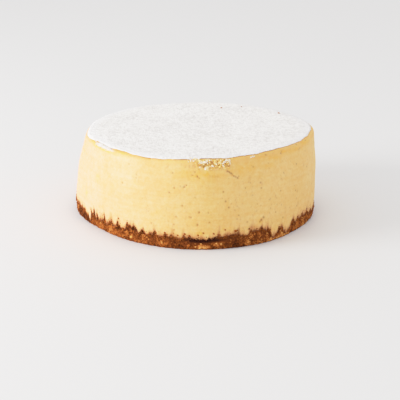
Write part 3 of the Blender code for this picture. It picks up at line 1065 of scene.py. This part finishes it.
print("fringe", len(centres), "specks,", triangles(fringe), "triangles")

# %% [markdown]
# ## Crumbs: their finish
# Baked biscuit goes from near black where butter soaked it to amber where a crumb broke open. Each crumb
# was given a tone, and the ramp turns the tone to a colour. The tones also hold painted shade under the
# filling's overhang at the front, and painted light on the right and towards the foot. Fine noise breaks
# up each crumb's own face.

# %% Crumbs: finish
crumb_finish, shader, place = new_material("biscuit_crumb_finish")
tone = painted(place, "tone") + (place.noise(700.0, 2.0, 0.6) - 0.5) * 0.3
brown = tone.ramp(
    (0.0, (0.035, 0.006, 0.002)), (0.25, (0.17, 0.042, 0.007)), (0.5, (0.38, 0.112, 0.020)),
    (0.75, (0.56, 0.20, 0.045)), (1.0, (0.84, 0.44, 0.13)),
)
plug(brown, shader, "Base Color")
bumped(shader, place.noise(1600.0, 3.0, 0.65), 0.4, 0.0004)
plug((0.6 + place.noise(500.0, 1.0) * 0.3).limited(), shader, "Roughness")
shader.inputs["Specular IOR Level"].default_value = 0.12
# The body takes the same patches, and the same painted shade under the overhang.
body_tone = [0.24 + patch_and_shade_tone(math.atan2(y, x), z) for x, y, z in places(core)]
paint(core, "tone", np.clip(body_tone, 0.0, 1.0))
for piece in (core, crust, fine, fringe):
    piece.data.materials.append(crumb_finish)
    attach(piece, "root")
core.data.shade_smooth()
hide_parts("crumb_base")

# %% [markdown]
# ## Icing sugar: the layer
# Sifted sugar lies as a matt, slightly lumpy skin that ends just inside the rim, with a soft uneven edge.
# It is a low cylinder again, with many rings on top for its relief, and its underside just clear of the
# filling.

# %% Icing sugar: layer
SUGAR_STEPS = 640
SUGAR_ROWS = 4
SUGAR_THICKNESS = 0.0008
SUGAR_GAP = 0.00005
SUGAR_TOP_RINGS = tuple(1.0 - 0.0155 * count for count in range(1, 64))
SUGAR_LUMPS = 0.00018

sugar = ringed_cylinder(
    "sugar_layer", SUGAR_STEPS, TIN_RADIUS, SUGAR_THICKNESS, SUGAR_ROWS, SUGAR_TOP_RINGS, (0.9, 0.5)
)


sugar_spots = []
for x, y, z in places(sugar):
    angle = math.atan2(y, x)
    across = math.hypot(x, y) / TIN_RADIUS
    radius = sugar_edge(angle) * min(1.0, across)
    up = z / SUGAR_THICKNESS
    thinned = 1 - 0.8 * smooth_step(0.9, 1.0, across)
    level = skin_height(angle, radius) + SUGAR_GAP + SUGAR_THICKNESS * thinned * up
    where = leaned(angle, radius, level)
    if up > 0.2:
        lumps = noise.noise(where * 190.0) + 0.4 * noise.noise(where * 420.0)
        where.z += SUGAR_LUMPS * lumps * up
    sugar_spots.append(where)
edge_share = [smooth_step(0.9, 0.985, math.hypot(x, y) / TIN_RADIUS) for x, y, z in places(sugar)]
put_places(sugar, sugar_spots)
paint(sugar, "edge", edge_share)
print("sugar", triangles(sugar), "triangles, its top at", round(max(s.z for s in sugar_spots) / MM, 2), "mm")

# %% [markdown]
# Sifted sugar also falls past its edge: it lies as small clumps over the layer, on the slumped left
# shoulder and about the torn patch. These clumps are the speck shape again, a fraction of a millimetre
# wide.

# %% Icing sugar: clumps and dust
CLUMP_COUNT = 5200
CLUMP_SEED = 31
clump_seed = np.random.default_rng(CLUMP_SEED)

centres, sizes = [], []
while len(centres) < CLUMP_COUNT:
    angle = clump_seed.uniform(-math.pi, math.pi)
    radius = sugar_edge(angle) * math.sqrt(clump_seed.random()) * 0.995
    thinned = 1 - 0.45 * smooth_step(0.8, 1.0, radius / sugar_edge(angle))
    height = skin_height(angle, radius) + SUGAR_GAP + SUGAR_THICKNESS * thinned
    size = 0.00014 + 0.00026 * clump_seed.random() ** 3
    centres.append(leaned(angle, radius, height - size * 0.4))
    sizes.append(size)
clumps = strewn("sugar_clumps", [shape_of(speck)], np.array(centres), sizes, [0.5] * len(sizes), 7)

DUSTED = (
    (-149.5, 68.5, 3.5, 0.6, 120), (-144.5, 68.3, 3.0, 0.6, 120), (-140.5, 68.3, 2.5, 0.5, 70),
    (-95.0, 70.9, 1.8, 0.6, 30), (-91.0, 68.6, 1.5, 0.7, 8), (-87.0, 70.4, 2.0, 0.8, 14),
    (-84.0, 66.5, 1.3, 0.6, 5), (-78.5, 69.0, 1.8, 1.0, 12), (-65.0, 71.0, 1.2, 0.4, 12),
)
centres, sizes = [], []
for middle, height, spread, rise, count in DUSTED:
    for grain in range(count):
        angle = math.radians(middle + clump_seed.normal() * spread * 0.6)
        spot, out = skin_point(angle, (height + clump_seed.normal() * rise) * MM)
        size = clump_seed.uniform(0.00016, 0.00042)
        centres.append(spot + out * size * 0.1)
        sizes.append(size)
dust = strewn("sugar_dust", [shape_of(speck)], np.array(centres), sizes, [0.5] * len(sizes), 8)
print("clumps", len(clumps.data.polygons), "and dust", len(dust.data.polygons), "faces")

# %% [markdown]
# ## Torn patch: flakes
# Where the rim tore, thin chips of the baked skin still hang on, some of them white with sugar. One chip is
# modelled: a small grid is curled, its outline made uneven, and Solidify gives it a thickness. Each copy is
# turned, scaled and leaned against the side.

# %% Torn patch: flakes
FLAKE_THICKNESS = 0.09
SEEN_FLAKES = (
    (-93.4, 71.3, 4.6, 1.6, 8, 0.9), (-90.6, 70.2, 2.6, 1.4, -20, 0.9), (-89.2, 68.9, 5.0, 2.2, 12, 1.0),
    (-86.3, 71.4, 2.4, 1.2, 30, 0.2), (-84.2, 70.9, 3.6, 1.5, -6, 0.1), (-83.0, 65.4, 4.6, 2.0, -12, 0.5),
    (-81.6, 69.0, 3.0, 1.6, 25, 0.3), (-80.0, 67.4, 4.2, 1.5, 48, 1.0), (-78.6, 69.9, 4.0, 1.6, 20, 1.0),
    (-77.0, 68.6, 3.6, 1.5, -52, 0.9), (-77.9, 64.4, 4.0, 1.7, 14, 0.2), (-86.4, 66.6, 2.8, 1.3, -32, 0.1),
    (-75.6, 71.4, 2.2, 1.1, 10, 0.1), (-87.6, 63.6, 2.6, 0.9, 5, 0.2), (-95.4, 72.0, 2.2, 1.0, 0, 0.9),
)

bare_hands()
bpy.ops.mesh.primitive_grid_add(x_subdivisions=8, y_subdivisions=5, size=2, location=(0, 0, 0))
flake = bpy.context.object
flake.name = "flake"
for point in flake.data.vertices:
    x, y = point.co.x, point.co.y
    edge = 1 + 0.35 * noise.noise(Vector((x * 1.4, y * 1.4, 4.0)))
    narrowed = math.sqrt(max(0.15, 1 - 0.8 * x * x))
    curl = 0.30 * x * x - 0.2 * y * y + 0.12 * x
    point.co = Vector((x * edge, y * edge * narrowed, curl))
thicken = flake.modifiers.new("skin", "SOLIDIFY")
thicken.thickness = FLAKE_THICKNESS
bpy.ops.object.modifier_apply(modifier=thicken.name)
flake_shape, flake_faces = shape_of(flake)
points, faces, sugared = [], [], []
for angle, height, width, rise, spin, sugar_share in SEEN_FLAKES:
    spot, out = skin_point(math.radians(angle), height * MM)
    torn = bump(turn_between(math.radians(angle), TORN_ANGLE), TORN_HALF_WIDTH)
    spot = spot - out * TORN_DEPTH * torn * 0.55
    facing = out.to_track_quat("Z", "Y").to_matrix() @ Euler((0.35, 0.0, math.radians(spin))).to_matrix()
    scale = np.array((width, rise, (width + rise) / 2)) * MM / 2
    reached = sum(len(part) for part in points)
    points.append((flake_shape * scale) @ np.array(facing).T + np.array(spot))
    faces.extend(tuple(corner + reached for corner in face) for face in flake_faces)
    sugared.append(np.full(len(flake_shape), sugar_share))
flake_mesh = bpy.data.meshes.new("torn_flakes")
flake_mesh.from_pydata(np.concatenate(points).tolist(), [], faces)
flakes = bpy.data.objects.new("torn_flakes", flake_mesh)
bpy.context.scene.collection.objects.link(flakes)
paint(flakes, "sugared", np.concatenate(sugared))
flakes.data.shade_smooth()
print(len(SEEN_FLAKES), "flakes,", triangles(flakes), "triangles")

# %% [markdown]
# Between the flakes the torn filling is crumbly: yellow and cream bits, some powdered, with dark gaps. They
# are the crumb shapes again, half sunk in the patch, each with its own tone.

# %% Torn patch: crumbs of filling
TORN_CRUMBS = 130
TORN_SEED = 41
torn_seed = np.random.default_rng(TORN_SEED)
centres, sizes, tones = [], [], []
while len(centres) < TORN_CRUMBS:
    angle = TORN_ANGLE + TORN_HALF_WIDTH * torn_seed.uniform(-1.5, 1.15)
    height = FILLING_TOP + 0.0006 - 0.0085 * torn_seed.random() ** 1.3
    sideways = bump(turn_between(angle, TORN_ANGLE), TORN_HALF_WIDTH * 1.2)
    if torn_seed.random() > sideways * smooth_step(0.0620, 0.0680, height) + 0.05:
        continue
    size = torn_seed.uniform(0.00045, 0.0011)
    spot, out = skin_point(angle, height)
    sunk = size * 0.5 + TORN_DEPTH * 0.6 * sideways * smooth_step(0.064, 0.069, height)
    centres.append(spot - out * sunk)
    sizes.append(size)
    tones.append(min(1.0, max(0.0, 0.5 + 0.28 * torn_seed.normal() + 0.5 * noise.noise(spot * 260.0))))
torn_crumbs = strewn("torn_crumbs", crumb_shapes, np.array(centres), sizes, tones, 9)
print("torn patch", len(centres), "crumbs")

# %% Torn patch: finish of the flakes
flake_finish, shader, place = new_material("torn_flake_finish")
share = painted(place, "sugared") * 1.4 + place.noise(500.0, 2.0, 0.6) * 1.2 - 1.2
plug(mixed(share.limited(), (0.90, 0.58, 0.22), (0.96, 0.88, 0.72)), shader, "Base Color")
bumped(shader, place.noise(1100.0, 2.0, 0.6), 0.4, 0.0004)
shader.inputs["Roughness"].default_value = 0.6
shader.inputs["Specular IOR Level"].default_value = 0.3
flakes.data.materials.append(flake_finish)

torn_finish, shader, place = new_material("torn_crumb_finish")
tone = painted(place, "tone") + (place.noise(600.0, 2.0, 0.6) - 0.5) * 0.3
plug(tone.ramp(
    (0.0, (0.42, 0.22, 0.05)), (0.22, (0.80, 0.45, 0.09)), (0.5, (0.93, 0.63, 0.22)),
    (0.8, (0.95, 0.77, 0.47)),
    (1.0, (0.97, 0.90, 0.80)),
), shader, "Base Color")
bumped(shader, place.noise(1100.0, 2.0, 0.6), 0.4, 0.0004)
shader.inputs["Roughness"].default_value = 0.6
shader.inputs["Specular IOR Level"].default_value = 0.3
torn_crumbs.data.materials.append(torn_finish)
for piece in (flakes, torn_crumbs):
    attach(piece, "root")

# %% [markdown]
# ## Icing sugar: its finish
# Powdered sugar is the most even white on the cake: rough, without shine, a touch cooler at its thin edge.
# Its grain is finer than the mesh, so it goes into the bump.

# %% Icing sugar: finish
SUGAR_WHITE = (0.995, 0.97, 0.94)
SUGAR_GREY = (0.76, 0.73, 0.705)
SUGAR_COOL = (0.93, 0.92, 0.94)

sugar_finish, shader, place = new_material("icing_sugar_finish")
patches = place.noise(45.0, 3.0, 0.6)
powder = place.noise(700.0, 2.0, 0.7)
clouds = place.noise(120.0, 2.0, 0.6)
mottled = patches * 1.4 + clouds * 1.4 + place.noise(330.0, 2.0, 0.6) * 2.8 + powder * 2.0 - 3.5
white = mixed(mottled.limited(), SUGAR_WHITE, SUGAR_GREY)
plug(mixed(painted(place, "edge") * 0.55, white, SUGAR_COOL), shader, "Base Color")
bumped(shader, powder + place.noise(260.0, 2.0, 0.6) * 1.6, 1.0, 0.0008)
plug((0.82 + powder * 0.15).limited(), shader, "Roughness")
shader.inputs["Specular IOR Level"].default_value = 0.25
for piece in (sugar, clumps, dust):
    piece.data.materials.append(sugar_finish)
    piece.data.shade_smooth()
    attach(piece, "root")
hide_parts("icing_sugar")

# %% [markdown]
# ## Finish
# The shapes that were copied have done their work and go. The solids' box and the dressed cake's box are
# printed side by side.

# %% Clear up and finish
for shape in (*crumbs, speck, flake):
    bpy.data.objects.remove(shape, do_unlink=True)
low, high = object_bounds()
print("CAD box", [round(v / MM, 1) for v in (*CAD_LOW, *CAD_HIGH)])
print("dressed", [round(v / MM, 1) for v in (*low, *high)])
